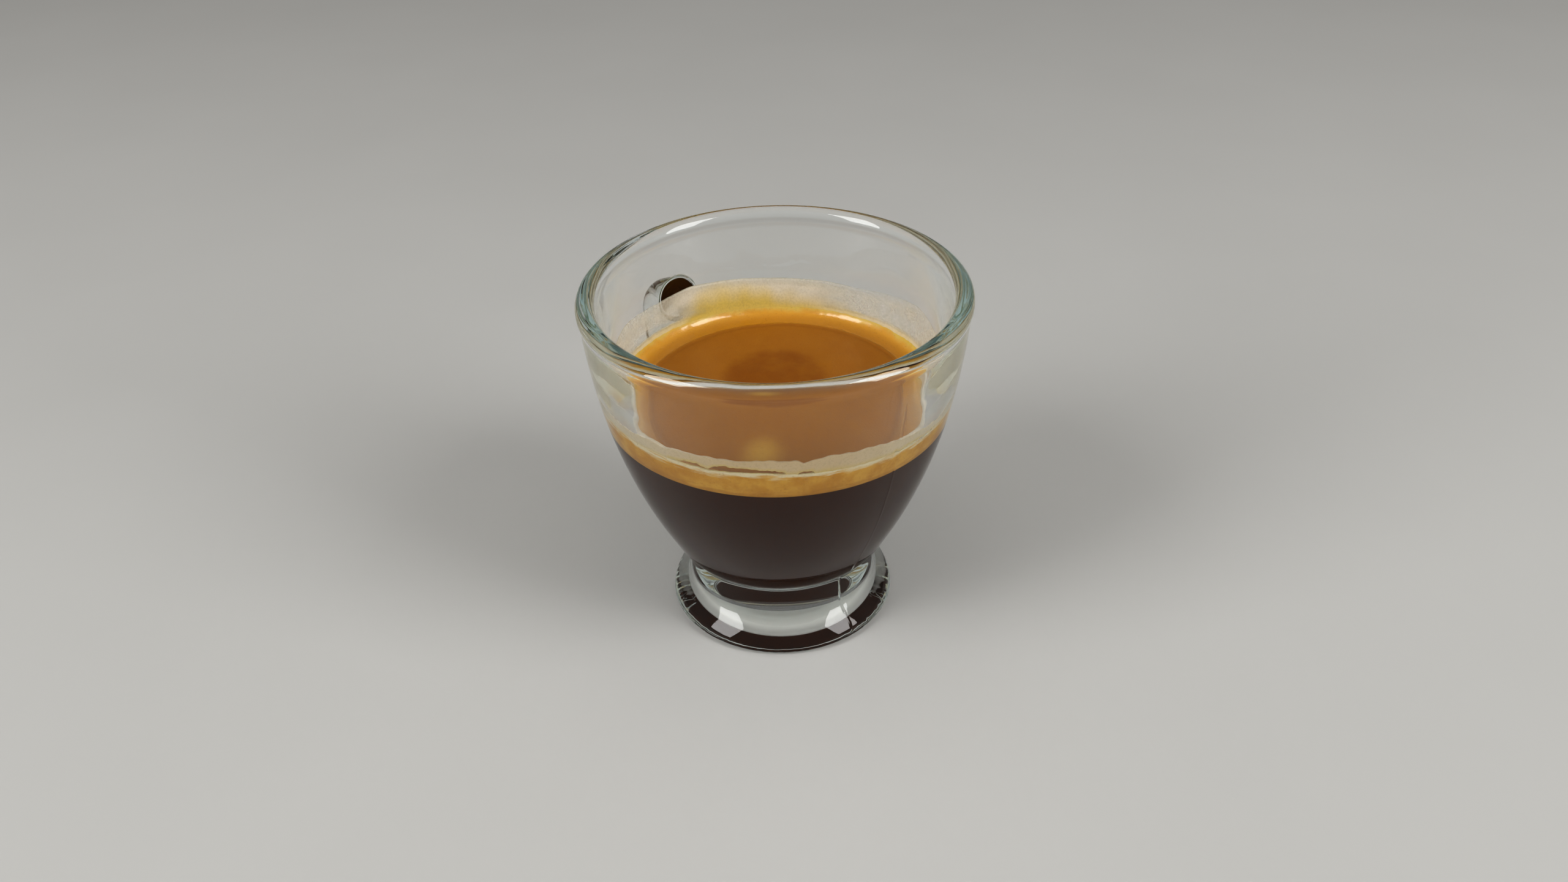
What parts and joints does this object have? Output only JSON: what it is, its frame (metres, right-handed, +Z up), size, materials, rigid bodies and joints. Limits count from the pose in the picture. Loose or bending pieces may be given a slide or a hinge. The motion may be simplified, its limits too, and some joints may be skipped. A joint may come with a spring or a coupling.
{
  "type": "espresso shot in a glass",
  "caption": "Small footed clear glass cup with one ear handle, filled to about two thirds with black coffee under a golden crema.",
  "frame": {"origin": "on the table, midway between the rim's far side and the handle's outermost point; the cup's axis stands at x = -0.0054 m", "axes": "+Z up along the cup's axis, +X from the axis out through the handle"},
  "size_m": [0.0758, 0.065, 0.0635],
  "materials": {
    "clear_glass": "clear pressed soda-lime glass, fire-polished",
    "black_coffee": "very dark brown coffee, wet and opaque",
    "golden_crema": "golden brown coffee foam with fine bubbles, paler where it clings to the glass"
  },
  "bodies": {
    "root": {"glass": "clear_glass", "coffee": "black_coffee", "crema": "golden_crema"}
  },
  "joints": []
}
